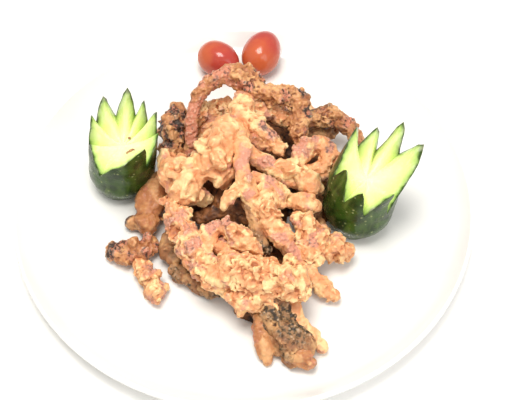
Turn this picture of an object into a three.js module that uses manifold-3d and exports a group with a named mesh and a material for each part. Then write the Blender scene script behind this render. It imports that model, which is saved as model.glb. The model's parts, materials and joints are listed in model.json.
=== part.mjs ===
// Battered, deep-fried squid tentacles heaped on a round white plate, with a
// cucumber crown on either side and two small plum tomatoes behind.
//
// Millimetres, +Z up. The origin is at the middle of the plate's foot, on the
// table. -Y is the side a diner sits at, +Y the far side with the tomatoes.
import * as THREE from "three";
import { mergeVertices } from "three/addons/utils/BufferGeometryUtils.js";
import Module from "manifold-3d";

const wasm = await Module();
wasm.setup();

// ---------------------------------------------------------------- dimensions
const GAP = 0.3; // kept between pieces that touch

const PLATE_R = 145; // a 29 cm dinner plate
const PLATE_H = 18;
const WELL_R = 125; // where the flat well ends and the rim starts to rise
const WELL_Z = 7;
const PLATE_WALL = 4.5;
const LIP = 2; // the rounding of the rim's edge
const FOOT_R = 84; // outer radius of the foot ring
const FOOT_W = 6;
const FOOT_H = 2.5;

const FOOD_Z = WELL_Z + GAP; // the height that all food rests at

const LUMP_PITCH = 9; // mean distance between lumps of batter
const LUMP_SHARE = 0.13; // how far a lump stands out, as a share of the radius
const MOUND_SHARE = 0.08; // the same on the tangle under the limbs
const LIMB_SIDES = 7;
const STATION_PITCH = 8; // between the rings that a limb is built of

// ------------------------------------------------------------------ materials
const looks = {
  glaze: new THREE.MeshStandardMaterial({ color: 0xf4f3ef, roughness: 0.15, metalness: 0 }),
  batter: new THREE.MeshStandardMaterial({ color: 0xe3a468, roughness: 0.7, metalness: 0 }),
  skin: new THREE.MeshStandardMaterial({ color: 0xb47a58, roughness: 0.6, metalness: 0 }),
  cucumber: new THREE.MeshStandardMaterial({ color: 0x7f9c4a, roughness: 0.35, metalness: 0 }),
  tomato: new THREE.MeshStandardMaterial({ color: 0xd9502c, roughness: 0.15, metalness: 0 }),
};

// -------------------------------------------------------------------- helpers
/** A closed three.js geometry as a solid that can be joined and cut. */
function solid(geometry) {
  const bare = geometry.clone();
  bare.deleteAttribute("normal");
  bare.deleteAttribute("uv");
  const merged = mergeVertices(bare, 1e-4);
  return new wasm.Manifold(
    new wasm.Mesh({
      numProp: 3,
      vertProperties: merged.attributes.position.array,
      triVerts: new Uint32Array(merged.index.array),
    }),
  );
}

/** The largest body of a solid, back as a three.js geometry. */
function geometryOf(joined) {
  const bodies = joined.decompose().sort((a, b) => b.volume() - a.volume());
  const { numProp, vertProperties, triVerts } = bodies[0].getMesh();
  const count = vertProperties.length / numProp;
  const places = new Float32Array(count * 3);
  for (let i = 0; i < count; i++) {
    places.set(vertProperties.subarray(i * numProp, i * numProp + 3), i * 3);
  }
  const geometry = new THREE.BufferGeometry();
  geometry.setAttribute("position", new THREE.BufferAttribute(places, 3));
  geometry.setIndex(new THREE.BufferAttribute(triVerts, 1));
  return geometry;
}

/** Everything below the height that food rests at, as a solid to cut away. */
function underFood() {
  const depth = 60;
  const slab = new THREE.BoxGeometry(400, 400, depth);
  slab.translate(0, 0, FOOD_Z - depth / 2);
  return solid(slab);
}

/** Uneven batter: a smooth number between about -1 and 1 for each place. */
function lump(p) {
  const k = (2 * Math.PI) / LUMP_PITCH;
  return (
    (Math.sin(k * p.x + 1.3 * Math.sin(0.6 * k * p.y)) +
      Math.sin(k * 0.9 * p.y + 1.7 * Math.sin(0.7 * k * p.z)) +
      Math.sin(k * 1.1 * p.z + 1.1 * Math.sin(0.5 * k * p.x))) /
    3
  );
}

/**
 * One limb of fried squid along a route of [x, y, z, radius] stations. It is
 * first turned straight, as a lathe with a round end at each side, and then
 * bent along a smooth curve through the stations.
 */
function limb(route, extra = 0) {
  const curve = new THREE.CatmullRomCurve3(
    route.map(([x, y, z]) => new THREE.Vector3(x, y, z)),
    false,
    "centripetal",
  );
  const length = curve.getLength();
  const steps = Math.max(5, Math.round(length / STATION_PITCH));
  const frames = curve.computeFrenetFrames(steps, false);

  // The radius at a share u of the length, eased between the stations.
  const radiusAt = (u) => {
    const place = curve.getUtoTmapping(u) * (route.length - 1);
    const i = Math.min(route.length - 2, Math.floor(place));
    const share = THREE.MathUtils.smoothstep(place - i, 0, 1);
    return THREE.MathUtils.lerp(route[i][3], route[i + 1][3], share) + extra;
  };

  const profile = [new THREE.Vector2(0, 0)];
  for (let i = 0; i <= steps; i++) {
    const u = (i + 0.35) / (steps + 0.7);
    const radius = radiusAt(u);
    const fromEnd = Math.min(u, 1 - u) * length;
    const cap = Math.min(1, fromEnd / radius);
    profile.push(new THREE.Vector2(radius * Math.sqrt(cap * (2 - cap)), u));
  }
  profile.push(new THREE.Vector2(0, 1));

  const geometry = new THREE.LatheGeometry(profile, LIMB_SIDES);
  const place = geometry.attributes.position;
  const p = new THREE.Vector3();
  for (let i = 0; i < place.count; i++) {
    p.fromBufferAttribute(place, i);
    const u = THREE.MathUtils.clamp(p.y, 0, 1);
    const at = u * steps;
    const low = Math.min(steps - 1, Math.floor(at));
    const normal = frames.normals[low].clone().lerp(frames.normals[low + 1], at - low);
    const side = frames.binormals[low].clone().lerp(frames.binormals[low + 1], at - low);
    const centre = curve.getPointAt(u);
    const out = side.normalize().multiplyScalar(p.x).add(normal.normalize().multiplyScalar(p.z));
    const uneven = 1 + LUMP_SHARE * lump(centre.clone().add(out));
    out.multiplyScalar(uneven).add(centre);
    place.setXYZ(i, out.x, out.y, out.z);
  }
  return solid(geometry);
}

function named(name, geometry, material) {
  const mesh = new THREE.Mesh(geometry, material);
  mesh.name = name;
  return mesh;
}

// ----------------------------------------------------------------------- plate
/** A coupe plate: flat well, gently rising rim with a rounded lip, foot ring. */
function plate() {
  const rimAt = (share, drop) =>
    new THREE.Vector2(
      THREE.MathUtils.lerp(WELL_R, PLATE_R - LIP, share) + drop / 4,
      THREE.MathUtils.lerp(WELL_Z, PLATE_H, share * share) - drop,
    );
  const rises = [0.25, 0.5, 0.75, 1];
  const profile = [
    new THREE.Vector2(0, FOOT_H),
    new THREE.Vector2(FOOT_R - FOOT_W - 1, FOOT_H),
    new THREE.Vector2(FOOT_R - FOOT_W, 0),
    new THREE.Vector2(FOOT_R, 0),
    new THREE.Vector2(FOOT_R + 1.5, FOOT_H),
    new THREE.Vector2(WELL_R + 1, WELL_Z - PLATE_WALL),
    ...rises.map((share) => rimAt(share, PLATE_WALL)),
    new THREE.Vector2(PLATE_R, PLATE_H - LIP),
    ...rises.map((share) => rimAt(share, 0)).reverse(),
    new THREE.Vector2(WELL_R, WELL_Z),
    new THREE.Vector2(0, WELL_Z),
  ];
  const geometry = new THREE.LatheGeometry(profile, 44);
  geometry.rotateX(Math.PI / 2);
  return geometry;
}

// --------------------------------------------------------------- squid in heap
// Each route is a limb's middle line, as [x, y, z, radius] stations. They go
// from the top of the heap down, in the order that a cook's tongs would lift.
const HEAP_LIMBS = {
  crown_left: [[0, 32, 54, 6], [-9, 22, 54, 7.5], [-18, 11, 53, 9], [-19, 2, 50, 11.5],
    [-13, -4, 44, 9]],
  crown_right: [[0, 63, 48, 4], [0, 45, 55, 4.5], [-2, 34, 56, 7.5], [5, 30, 55, 6], [11, 27, 53, 5],
    [17, 23, 49, 4.5], [23, 17, 42, 4]],
  crown_inner: [[0, 23, 50, 4.5], [9, 22, 47, 5], [16, 19, 44, 4.5]],
  stem: [[-1, 17, 56, 5], [0, 5, 56, 3.5], [-1, -2, 55, 4], [0, -10, 53, 4.5], [3, -17, 50, 5.5],
    [7, -26, 45, 5.5]],
  stem_flake: [[-1, -15, 52, 3.5], [-5, -21, 51, 5.5], [-10, -27, 46, 3]],
  centre_mid: [[5, -8, 48, 4], [15, -12, 47, 6], [22, -15, 45, 5.5], [24, -22, 40, 4]],
  long_right: [[11, -11, 48, 4], [15, -22, 47, 6.5], [14, -30, 44, 6.5], [18, -38, 41, 7],
    [23, -44, 37, 6.5], [28, -49, 31, 5], [34, -52, 25, 4], [39, -57, 20, 4.5], [45, -63, 16, 4.5],
    [54, -69, 13, 5]],
  right_mid: [[-1, 12, 52, 4.5], [8, 8, 48, 4.5], [15, 4, 46, 5], [22, 1, 42, 4.5], [29, -3, 38, 4],
    [37, -5, 34, 3]],
  right_flake: [[23, 3, 46, 5], [31, 2, 46, 6.5], [36, -3, 43, 5.5], [41, -8, 40, 4.5],
    [47, -8, 36, 3.5]],
  right_curl: [[34, 9, 40, 4.5], [38, 21, 40, 5.5], [45, 25, 40, 5.5], [53, 21, 39, 5.5],
    [55, 14, 37, 5.5], [51, 6, 35, 5.5], [41, 6, 35, 5.5]],
  cluster_flake: [[28, -14, 38, 3.5], [35, -20, 38, 5.5], [43, -20, 35, 5.5]],
  right_cluster: [[34, -30, 36, 6], [39, -39, 33, 8.5], [42, -46, 28, 8], [39, -54, 21, 6]],
  right_knob: [[43, -38, 29, 5.5], [53, -44, 24, 8], [64, -42, 18, 5]],
  left_big: [[-47, 14, 40, 7.5], [-43, 1, 40, 10.5], [-36, -8, 38, 12.5], [-25, -11, 33, 7.5]],
  left_long: [[-44, -13, 32, 6.5], [-39, -28, 33, 8], [-35, -40, 32, 7], [-29, -50, 32, 7.5],
    [-23, -59, 32, 7.5], [-15, -70, 31, 7]],
  loop: [[-21, -55, 33, 3.5], [-22, -46, 37, 4], [-18, -39, 39, 5], [-11, -39, 41, 5.5],
    [-4, -44, 42, 7], [2, -51, 41, 6], [9, -56, 39, 4]],
  front_crown: [[-15, -69, 32, 6.5], [-5, -66, 36, 8], [5, -70, 38, 11.5], [16, -74, 38, 12.5],
    [32, -73, 35, 11]],
  front_fringe: [[-12, -74, 29, 5], [-3, -81, 29, 6], [5, -83, 29, 6.5], [13, -81, 29, 6.5],
    [22, -79, 29, 6.5], [34, -76, 29, 6]],
  front_end: [[16, -78, 23, 8], [20, -90, 20, 11], [27, -99, 17, 9.5], [33, -107, 15, 7.5],
    [39, -114, 11, 4.5]],
  front_end_left: [[12, -87, 18, 6], [11, -100, 14, 4.5], [15, -111, 10, 4]],
  front_end_mid: [[16, -95, 16, 4.5], [21, -107, 11, 4]],
  front_end_bulb: [[27, -80, 25, 5], [31, -89, 20, 5], [36, -96, 17, 4.5], [45, -103, 13, 5]],
  centre_low: [[6, -23, 44, 5.5], [7, -34, 40, 5], [9, -42, 36, 4], [14, -48, 30, 4]],
  inner_left: [[-28, -19, 22, 4.5], [-18, -18, 22, 5], [-8, -18, 24, 6], [3, -20, 29, 5]],
  back_left_inner: [[-26, 38, 27, 5], [-25, 49, 31, 6], [-21, 58, 34, 5], [-14, 57, 36, 6],
    [-4, 57, 37, 4.5]],
  back_right_inner: [[0, 51, 44, 4.5], [9, 48, 44, 4.5], [16, 48, 43, 5], [23, 48, 41, 4.5],
    [30, 44, 37, 4]],
  back_right: [[38, 48, 36, 5], [48, 51, 35, 6.5], [57, 51, 33, 6.5], [65, 48, 31, 6],
    [70, 44, 28, 4.5], [77, 38, 23, 3]],
  back_right_low: [[37, 44, 24, 4.5], [47, 48, 22, 5.5], [59, 48, 20, 4.5]],
  back_left: [[-42, 61, 29, 5.5], [-46, 53, 29, 7], [-47, 42, 27, 8], [-44, 29, 24, 7]],
  left_low: [[-55, 10, 22, 4.5], [-57, -1, 20, 5], [-59, -11, 17, 8], [-60, -20, 16, 8.5],
    [-70, -17, 13, 5.5]],
  left_bulb: [[-43, -26, 18, 5], [-45, -37, 16, 8], [-42, -45, 15, 5]],
  low_dark: [[-41, -51, 13, 5], [-31, -59, 13, 5.5], [-22, -65, 13, 5], [-13, -67, 13, 4]],
  far_left: [[-46, 56, 14, 6.5], [-32, 62, 14, 7.5], [-16, 65, 15, 7.5], [0, 65, 15, 7]],
  far_right: [[2, 68, 17, 7], [18, 72, 16, 8], [34, 68, 17, 8], [48, 62, 16, 6.5]],
  right_low: [[54, 28, 14, 7], [44, 10, 14, 8], [41, -10, 15, 8], [46, -32, 14, 7]],
};

const ARCH = [[-35, 24, 28, 3.5], [-34, 31, 36, 3.5], [-32, 39, 42, 3.5], [-31, 45, 48, 3.5],
  [-29, 52, 53, 4], [-24, 57, 57, 4.5], [-18, 61, 60, 5], [-10, 65, 61, 5.5], [-2, 65, 60, 7],
  [5, 58, 58, 6.5], [13, 53, 56, 5], [22, 49, 55, 6.5], [30, 53, 54, 6.5], [36, 52, 52, 5],
  [37, 45, 48, 5], [35, 38, 44, 5.5], [35, 28, 39, 5.5]];

const LOOSE_BITS = {
  loose_bit_dark: [[-55, -34, 13, 5.5], [-64, -40, 14, 8], [-71, -42, 14, 8], [-80, -37, 13, 5.5]],
  loose_bit_golden: [[-63, -49, 13, 5.5], [-58, -58, 14, 6.5], [-52, -65, 13, 6], [-52, -73, 12, 3.5]],
};

// The tangle beneath them, as low domes: middle, back, sides, front and its end.
const MOUNDS = [
  { x: -2, y: 6, rx: 34, ry: 44, top: 48 },
  { x: 8, y: 50, rx: 44, ry: 20, top: 39 },
  { x: -41, y: 14, rx: 18, ry: 54, top: 28 },
  { x: 45, y: 11, rx: 22, ry: 42, top: 36 },
  { x: -14, y: -38, rx: 20, ry: 28, top: 36 },
  { x: 18, y: -52, rx: 30, ry: 26, top: 28 },
  { x: 10, y: -78, rx: 24, ry: 16, top: 32 },
  { x: 22, y: -98, rx: 15, ry: 14, top: 17 },
  { x: 40, y: -30, rx: 18, ry: 22, top: 37 },
  { x: 56, y: 46, rx: 24, ry: 14, top: 27 },
];

/** One low dome of tangled squid, such as the limbs on top of it lie on. */
function mound({ x, y, rx, ry, top }) {
  const rings = 4;
  const profile = [new THREE.Vector2(0, 0)];
  for (let i = 0; i < rings; i++) {
    const turn = ((Math.PI / 2) * i) / rings;
    profile.push(new THREE.Vector2(Math.cos(turn), Math.sin(turn)));
  }
  profile.push(new THREE.Vector2(0, 1));
  const dome = new THREE.LatheGeometry(profile, 14);
  dome.rotateX(Math.PI / 2);
  dome.scale(rx, ry, top - WELL_Z);
  dome.translate(x, y, WELL_Z);
  const place = dome.attributes.position;
  const p = new THREE.Vector3();
  for (let i = 0; i < place.count; i++) {
    p.fromBufferAttribute(place, i);
    const uneven = 1 + MOUND_SHARE * lump(p);
    place.setXY(i, x + (p.x - x) * uneven, y + (p.y - y) * uneven);
  }
  return solid(dome);
}

// -------------------------------------------------------------------- cucumber
// A stub of cucumber, cut right round in a zigzag down to its middle, so that
// a crown of pointed petals is left. edge is the zigzag along the skin, as
// [angle in degrees round the stub from +X, height], tips and notches in turn.
const CUPS = {
  cucumber_crown_left: {
    foot: [-80, 19],
    lean: [8, -1], // degrees towards +X and towards +Y
    radius: 21,
    heart: 39,
    bendFrom: 36,
    bend: 0.02, // how far the petals lean towards +X, per millimetre of height
    edge: [[-162, 46], [-128, 28], [-93, 44], [-53, 60], [-42, 38], [-3, 56], [16, 45], [28, 63],
      [50, 42], [61, 63], [73, 45], [91, 70], [108, 43], [136, 68], [150, 46], [174, 63], [188, 40]],
  },
  cucumber_crown_right: {
    foot: [70, -11],
    lean: [6, 3],
    radius: 22,
    heart: 41,
    bendFrom: 38,
    bend: 0.22,
    edge: [[-156, 59], [-130, 38], [-112, 52], [-92, 32], [-62, 52], [-49, 29], [9, 72], [38, 50],
      [62, 73], [73, 44], [93, 64], [107, 46], [152, 76], [186, 44]],
  },
};
const SHOULDER_TURN = 0.35; // where a petal's side bulges, from its tip to the notch
const SHOULDER_DROP = 0.2; // how much of the fall to the notch is behind it there
const STUB_FOOT = 0.52; // the foot's radius as a share of the stub's
const STUB_ROUND = 16; // height over which the blossom end rounds out
const STUB_SUNK = 6; // how far it starts below the plate, before its foot is cut level

/** The whole stub before it is cut, turned: flat blossom end, then full girth. */
function stub({ radius, bendFrom, edge }, extra = 0) {
  const top = Math.max(...edge.map(([, height]) => height)) + 4;
  const profile = [new THREE.Vector2(0, -STUB_SUNK)];
  const roundSteps = 5;
  for (let i = 0; i <= roundSteps; i++) {
    const share = i / roundSteps;
    const girth = THREE.MathUtils.lerp(STUB_FOOT, 1, Math.sin((share * Math.PI) / 2));
    profile.push(new THREE.Vector2(radius * girth + extra, share * (STUB_ROUND + STUB_SUNK) - STUB_SUNK));
  }
  for (const height of [bendFrom, top]) profile.push(new THREE.Vector2(radius + extra, height));
  profile.push(new THREE.Vector2(0, top));
  const geometry = new THREE.LatheGeometry(profile, 30);
  geometry.rotateX(Math.PI / 2);
  return geometry;
}

/**
 * All that the knife's zigzag takes off: a fan of facets from the heart out to
 * high tips and low notches well outside the skin, with everything above it.
 */
function zigzag({ radius, heart, edge }) {
  const outside = 2;
  const above = 150;
  const corners = [[0, 0, heart], [0, 0, above]];
  const addCorner = (angle, height) => {
    const turn = THREE.MathUtils.degToRad(angle);
    const x = Math.cos(turn) * radius * outside;
    const y = Math.sin(turn) * radius * outside;
    corners.push([x, y, heart + (height - heart) * outside], [x, y, above]);
  };
  const { lerp } = THREE.MathUtils;
  const closed = [...edge, [edge[0][0] + 360, edge[0][1]]];
  edge.forEach(([angle, height], i) => {
    const [nextAngle, nextHeight] = closed[i + 1];
    const falls = height > nextHeight;
    addCorner(angle, height);
    addCorner(
      lerp(angle, nextAngle, falls ? SHOULDER_TURN : 1 - SHOULDER_TURN),
      lerp(height, nextHeight, falls ? SHOULDER_DROP : 1 - SHOULDER_DROP),
    );
  });
  const faces = [];
  const count = edge.length * 2;
  for (let i = 0; i < count; i++) {
    const low = 2 + 2 * i;
    const next = 2 + 2 * ((i + 1) % count);
    faces.push(0, next, low, 1, low + 1, next + 1, low, next, next + 1, low, next + 1, low + 1);
  }
  const knife = new THREE.BufferGeometry();
  knife.setAttribute("position", new THREE.Float32BufferAttribute(corners.flat(), 3));
  knife.setIndex(faces);
  return solid(knife);
}

/** Bends the petals over, leans the stub and puts it in place. */
function settle(geometry, { foot, lean, bendFrom, bend }) {
  const place = geometry.attributes.position;
  for (let i = 0; i < place.count; i++) {
    place.setX(i, place.getX(i) + bend * Math.max(0, place.getZ(i) - bendFrom));
  }
  geometry.rotateY(THREE.MathUtils.degToRad(lean[0]));
  geometry.rotateX(-THREE.MathUtils.degToRad(lean[1]));
  geometry.translate(foot[0], foot[1], WELL_Z);
  return solid(geometry);
}

function cucumberCrown(cup) {
  const cut = geometryOf(solid(stub(cup)).subtract(zigzag(cup)));
  return geometryOf(settle(cut, cup).subtract(underFood()));
}

// -------------------------------------------------------------------- tomatoes
// at is the middle of the fruit, turn the way its long axis points.
const TOMATOES = {
  tomato_left: { at: [-18, 115], turn: -32, lift: 8, radius: 12.5, half: 15.5 },
  tomato_right: { at: [12, 120], turn: 70, lift: 8, radius: 13.5, half: 17 },
};

function tomato({ at, turn, lift, radius, half }) {
  const fruit = new THREE.SphereGeometry(radius, 18, 10);
  fruit.scale(half / radius, 1, 1);
  fruit.rotateY(-THREE.MathUtils.degToRad(lift));
  fruit.rotateZ(THREE.MathUtils.degToRad(turn));
  fruit.translate(at[0], at[1], FOOD_Z + radius - 0.2);
  return geometryOf(solid(fruit).subtract(underFood()));
}

// ------------------------------------------------------------------- the group
const dish = new THREE.Group();
dish.add(named("plate", plate(), looks.glaze));

const below = underFood();

let heap = mound(MOUNDS[0]);
for (const place of MOUNDS.slice(1)) heap = heap.add(mound(place));
for (const route of Object.values(HEAP_LIMBS)) heap = heap.add(limb(route));
heap = heap.subtract(below).subtract(limb(ARCH, GAP));
for (const cup of Object.values(CUPS)) heap = heap.subtract(settle(stub(cup, GAP), cup));
dish.add(named("tentacle_heap", geometryOf(heap), looks.batter));
dish.add(named("tentacle_arch", geometryOf(limb(ARCH)), looks.skin));
for (const [name, route] of Object.entries(LOOSE_BITS)) {
  dish.add(named(name, geometryOf(limb(route).subtract(below)), looks.batter));
}
for (const [name, cup] of Object.entries(CUPS)) dish.add(named(name, cucumberCrown(cup), looks.cucumber));
for (const [name, fruit] of Object.entries(TOMATOES)) dish.add(named(name, tomato(fruit), looks.tomato));

export default dish;
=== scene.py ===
# %% [markdown]
# # Fried squid tentacles on a plate
#
# Squid tentacles in knobbly golden batter lie heaped on a white plate. A
# cucumber crown stands on either side and two plum tomatoes lie behind. Each
# tentacle here is a piece of its own, strung through the heap, dipped in
# batter and laid over a small core, whose dark colour is painted shade. The
# first cell loads the packed model, which fixes where everything goes.

# %% Load the imported model
import json
import math
import random

import bpy
import numpy as np
from mathutils import Matrix, Vector, noise

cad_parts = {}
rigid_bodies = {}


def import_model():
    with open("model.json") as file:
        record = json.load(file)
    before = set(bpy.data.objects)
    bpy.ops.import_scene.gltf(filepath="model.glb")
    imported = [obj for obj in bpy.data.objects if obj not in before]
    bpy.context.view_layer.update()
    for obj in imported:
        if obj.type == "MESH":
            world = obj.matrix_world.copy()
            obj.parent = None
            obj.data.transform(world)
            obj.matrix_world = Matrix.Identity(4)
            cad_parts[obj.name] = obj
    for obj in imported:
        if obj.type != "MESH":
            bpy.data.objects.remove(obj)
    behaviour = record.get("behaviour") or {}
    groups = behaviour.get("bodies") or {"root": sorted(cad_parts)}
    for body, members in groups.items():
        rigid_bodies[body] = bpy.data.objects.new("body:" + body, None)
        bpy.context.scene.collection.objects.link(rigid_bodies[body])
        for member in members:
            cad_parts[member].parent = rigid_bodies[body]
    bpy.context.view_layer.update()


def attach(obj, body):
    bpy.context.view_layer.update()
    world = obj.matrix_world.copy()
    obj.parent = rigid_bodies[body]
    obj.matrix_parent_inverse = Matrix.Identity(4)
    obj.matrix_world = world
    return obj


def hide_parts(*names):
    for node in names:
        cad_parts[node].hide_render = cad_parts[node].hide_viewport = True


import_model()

MM = 0.001

# %% [markdown]
# ## The camera
#
# A diner's camera looks down at the dish from in front and above. A longish
# lens keeps the cucumbers upright. It is set by where it looks, how steeply
# and from how far, and is then turned to face that point.

# %% Camera
LOOK_AT = Vector((8, -5, 20)) * MM
STEEPNESS = math.radians(55)
DISTANCE = 650 * MM
LENS = 72.7


def face(thing, target):
    """Turn a light or a camera towards a point."""
    thing.rotation_euler = (target - thing.location).to_track_quat("-Z", "Y").to_euler()


bpy.ops.object.camera_add()
camera = bpy.context.object
camera.data.lens = LENS
camera.data.clip_start = 10 * MM
backwards = Vector((0, -math.cos(STEEPNESS), math.sin(STEEPNESS)))
camera.location = LOOK_AT + DISTANCE * backwards
face(camera, LOOK_AT)
bpy.context.scene.camera = camera
print("camera at, mm:", [round(x / MM) for x in camera.location])

# %% [markdown]
# ## Floor and light
#
# Food is lit softly: one broad window-like lamp almost overhead gives the
# batter its relief and the tomatoes their highlight, a weaker one from the
# right in front opens the shadows, and a white world fills the rest. The
# Standard view keeps the pale batter's own colours.

# %% Floor and light
scene = bpy.context.scene
scene.view_settings.view_transform = "Standard"
scene.world = bpy.data.worlds.new("soft_daylight")
scene.world.use_nodes = True
sky = scene.world.node_tree.nodes["Background"]
sky.inputs["Color"].default_value = (1.0, 0.99, 0.97, 1)
sky.inputs["Strength"].default_value = 0.6


def lamp(name, place, size, power, colour):
    """A square soft lamp that faces the dish."""
    bpy.ops.object.light_add(type="AREA", location=Vector(place))
    made = bpy.context.object
    made.name = name
    made.data.size = size
    made.data.energy = power
    made.data.color = colour
    face(made, LOOK_AT)


lamp("window", (-0.08, -0.04, 0.95), 0.45, 8.6, (1.0, 0.98, 0.94))
lamp("fill", (0.5, -0.7, 0.6), 0.8, 4, (0.97, 0.98, 1.0))

bpy.ops.mesh.primitive_plane_add(size=4, location=(0, 0, 0))
floor = bpy.context.object
floor.name = "floor"

# %% [markdown]
# ## Small tools
#
# Blender's operators work on whatever is selected, so every step first picks
# its one piece. These few helpers do what a maker does by hand all the time:
# pick a piece, go in and out of edit mode, and apply a stack of modifiers.

# %% Small tools
def pick(piece):
    """Make this the only selected piece, and the active one."""
    for other in bpy.context.view_layer.objects:
        other.select_set(False)
    piece.select_set(True)
    bpy.context.view_layer.objects.active = piece


def editing(on):
    """Go into edit mode with everything selected, or back out."""
    bpy.ops.object.mode_set(mode="EDIT" if on else "OBJECT")
    if on:
        bpy.ops.mesh.select_all(action="SELECT")


def apply_modifiers(piece):
    """Apply the piece's modifiers from the first to the last."""
    pick(piece)
    for modifier in list(piece.modifiers):
        bpy.ops.object.modifier_apply(modifier=modifier.name)


def single_point(name):
    """A piece of one vertex at the origin, from which edges are drawn."""
    bpy.ops.object.select_all(action="DESELECT")
    bpy.ops.mesh.primitive_plane_add(size=MM)
    piece = bpy.context.object
    piece.name = name
    editing(True)
    bpy.ops.mesh.merge(type="CENTER")
    return piece


def draw_edges(points):
    """Move the point to the first place, and draw on to each of the others."""
    bpy.ops.transform.translate(value=points[0])
    for here, there in zip(points, points[1:]):
        bpy.ops.mesh.extrude_region_move(TRANSFORM_OT_translate={"value": there - here})


def positions(piece, what="co"):
    """The vertices' places, or their normals, as an array."""
    values = np.empty(len(piece.data.vertices) * 3)
    piece.data.vertices.foreach_get(what, values)
    return values.reshape(-1, 3)


def store(piece, name, values):
    """Keep one number for each vertex, for a material to read."""
    layer = piece.data.attributes.new(name, "FLOAT", "POINT")
    layer.data.foreach_set("value", np.asarray(values, dtype=np.float32))


# %% [markdown]
# ## Shader tools
#
# Materials are small graphs of nodes. A few helpers keep them short: one adds
# a node and fills or wires its inputs, one starts a node group with named
# inputs and outputs, so that an effect is built once and used by many
# materials, and one wires colour, gloss and bump into the shader. Colours are
# given as the eye reads them and turned into the linear values that a
# renderer wants.

# %% Shader tools
def linear(red, green, blue):
    """A colour in everyday 0 to 255 values, as the renderer wants it."""
    steps = [v / 255 for v in (red, green, blue)]
    lights = [s / 12.92 if s <= 0.04045 else ((s + 0.055) / 1.055) ** 2.4 for s in steps]
    return (*lights, 1.0)


def add(tree, kind, inputs=None, **settings):
    """A node of this kind, its inputs filled with values or wired to sockets."""
    made = tree.nodes.new("ShaderNode" + kind)
    for name, value in settings.items():
        setattr(made, name, value)
    for name, value in (inputs or {}).items():
        if isinstance(value, bpy.types.NodeSocket):
            tree.links.new(value, made.inputs[name])
        else:
            made.inputs[name].default_value = value
    return made


def blend_colours(tree, factor, low, high):
    node = add(tree, "Mix", {"Factor": factor, "A": low, "B": high}, data_type="RGBA")
    return node.outputs["Result"]


def rescale(tree, value, low, high, to_low=0.0, to_high=1.0):
    """Spread a value so that low becomes to_low and high becomes to_high."""
    inputs = {"Value": value, "From Min": low, "From Max": high,
              "To Min": to_low, "To Max": to_high}
    return add(tree, "MapRange", inputs, interpolation_type="SMOOTHSTEP").outputs["Result"]


def combine(tree, operation, one, other):
    """Two values added, subtracted or multiplied."""
    return add(tree, "Math", {0: one, 1: other}, operation=operation).outputs[0]


def value_of(tree, name):
    """What a piece keeps under this name at each vertex."""
    return add(tree, "Attribute", attribute_name=name).outputs["Fac"]


def object_place(tree):
    return add(tree, "TexCoord").outputs["Object"]


def clouds(tree, size, detail=2.0, vector=None):
    """Cloudy noise with patches of about this size, in metres."""
    place = object_place(tree) if vector is None else vector
    inputs = {"Vector": place, "Scale": 1 / size, "Detail": detail}
    return add(tree, "TexNoise", inputs).outputs["Fac"]


def cells(tree, size, vector=None):
    """How far it is to the middle of the nearest cell, for cells of this size."""
    place = object_place(tree) if vector is None else vector
    inputs = {"Vector": place, "Scale": 1 / size}
    return add(tree, "TexVoronoi", inputs).outputs["Distance"]


def start_group(name, inputs, outputs):
    """A node group with these sockets; gives back its tree, inputs and outputs."""
    tree = bpy.data.node_groups.new(name, "ShaderNodeTree")
    for socket, kind in inputs.items():
        tree.interface.new_socket(socket, in_out="INPUT", socket_type="NodeSocket" + kind)
    for socket, kind in outputs.items():
        tree.interface.new_socket(socket, in_out="OUTPUT", socket_type="NodeSocket" + kind)
    return tree, tree.nodes.new("NodeGroupInput").outputs, tree.nodes.new("NodeGroupOutput").inputs


def use_group(tree, group, inputs):
    return add(tree, "Group", inputs, node_tree=group).outputs


def start_material(name, **values):
    """A material; gives back its tree and its shader, with plain values set."""
    material = bpy.data.materials.new(name)
    material.use_nodes = True
    shader = material.node_tree.nodes["Principled BSDF"]
    for socket, value in values.items():
        shader.inputs[socket.replace("_", " ")].default_value = value
    return material, material.node_tree, shader


def dress(tree, shader, colour, gloss, height, strength, depth):
    """Wire a colour, a roughness and a bump of this strength and depth."""
    bump = add(tree, "Bump", {"Height": height, "Strength": strength, "Distance": depth})
    tree.links.new(colour, shader.inputs["Base Color"])
    tree.links.new(gloss, shader.inputs["Roughness"])
    tree.links.new(bump.outputs["Normal"], shader.inputs["Normal"])


# %% [markdown]
# ## Fried surface and its painted light
#
# Three effects are shared by all that was fried. Each vertex will know how far
# it stands out, finely and broadly, and the crust's colours follow that as
# painted light: a painted highlight makes it palest on its peaks, on its sides
# it is golden, its own colour, and painted shade makes it red-brown in its
# creases and deeper in its broad hollows. Toasted and yellow patches come as
# the oil was hotter or cooler. Where the batter is thin the squid's own skin
# shows through, rosy brown with dusky blotches and dark flecks, and paler on
# its raised points with a painted highlight. A fine oily grain roughens both.

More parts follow.
